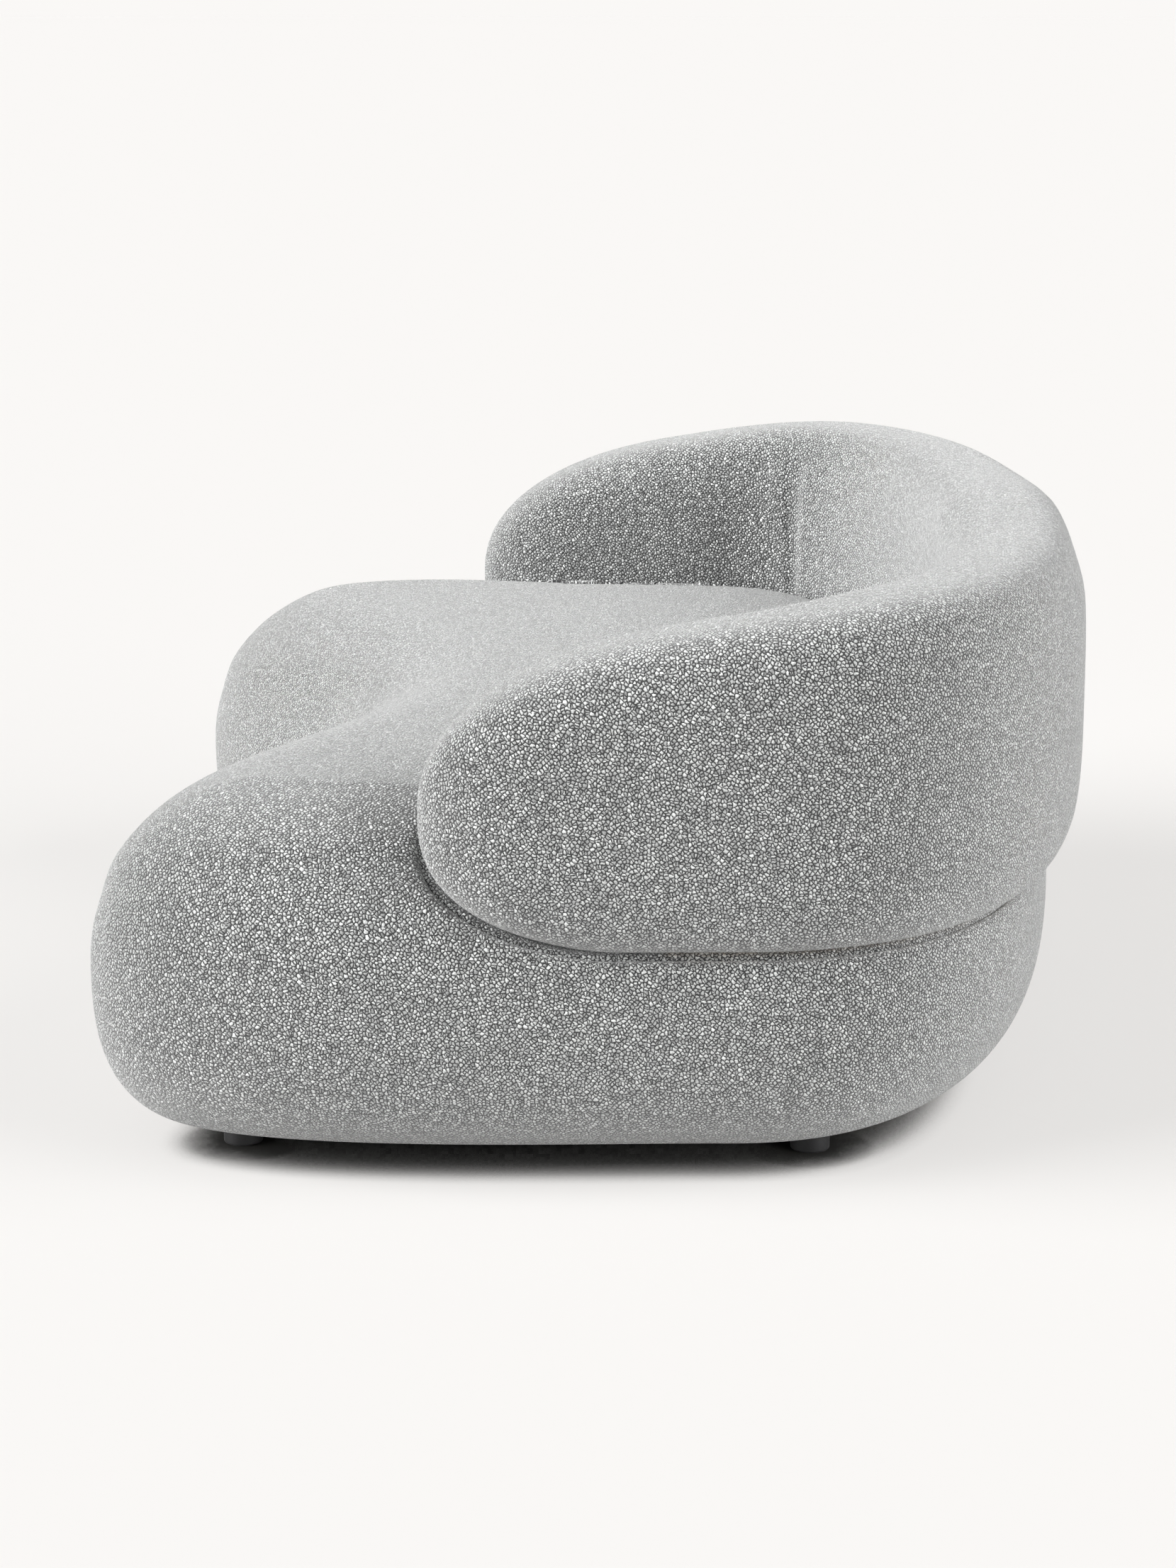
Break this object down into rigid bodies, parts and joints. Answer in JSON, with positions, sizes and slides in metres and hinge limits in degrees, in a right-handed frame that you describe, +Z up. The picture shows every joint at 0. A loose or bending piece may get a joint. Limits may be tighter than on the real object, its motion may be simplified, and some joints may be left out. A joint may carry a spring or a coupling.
{
  "type": "curved sofa",
  "caption": "Curved sofa with a pebble-shaped seat, two front lobes and a wraparound back band, upholstered in grey boucle over a plywood frame on small round feet.",
  "frame": {"origin": "centre of the bounding box on the floor plane, under the middle of the seat", "axes": "+X to the right seen from the front, along the sofa's width; +Y to the rear; +Z up"},
  "size_m": [1.6826, 1.14, 0.66],
  "materials": {
    "boucle": "looped boucle, charcoal ground with pale grey nubs",
    "foam": "open-cell upholstery foam",
    "plywood": "sanded birch plywood",
    "hardboard": "smooth thin hardboard",
    "webbing": "woven elastic webbing",
    "lining": "black non-woven dust cover",
    "foot_plastic": "moulded black plastic",
    "zinc_steel": "zinc-plated steel"
  },
  "bodies": {
    "root": {"seat_cover": "boucle", "back_cover": "boucle", "seat_foam": "foam", "side_foam": "foam", "back_foam": "foam", "base_top_ring": "plywood", "base_bottom_ring": "plywood", "base_rib_1": "plywood", "base_rib_2": "plywood", "base_rib_3": "plywood", "base_rib_4": "plywood", "base_rib_5": "plywood", "base_rib_6": "plywood", "base_rib_7": "plywood", "base_rib_8": "plywood", "base_rib_9": "plywood", "base_rib_10": "plywood", "base_rib_11": "plywood", "base_rib_12": "plywood", "cross_beam_left": "plywood", "cross_beam_right": "plywood", "back_bottom_rail": "plywood", "back_top_rail": "plywood", "back_rib_1": "plywood", "back_rib_2": "plywood", "back_rib_3": "plywood", "back_rib_4": "plywood", "back_rib_5": "plywood", "back_rib_6": "plywood", "back_rib_7": "plywood", "back_inner_panel": "hardboard", "back_outer_panel": "hardboard", "cross_strap_1": "webbing", "cross_strap_2": "webbing", "cross_strap_3": "webbing", "cross_strap_4": "webbing", "cross_strap_5": "webbing", "long_strap_1": "webbing", "long_strap_2": "webbing", "long_strap_3": "webbing", "dust_cover": "lining", "foot_1": "foot_plastic", "foot_2": "foot_plastic", "foot_3": "foot_plastic", "foot_4": "foot_plastic", "foot_5": "foot_plastic", "foot_6": "foot_plastic", "foot_screw_1": "zinc_steel", "foot_screw_2": "zinc_steel", "foot_screw_3": "zinc_steel", "foot_screw_4": "zinc_steel", "foot_screw_5": "zinc_steel", "foot_screw_6": "zinc_steel", "back_bolt_1": "zinc_steel", "back_bolt_2": "zinc_steel", "back_bolt_3": "zinc_steel", "back_bolt_4": "zinc_steel", "back_bolt_5": "zinc_steel", "back_bolt_6": "zinc_steel"}
  },
  "joints": []
}
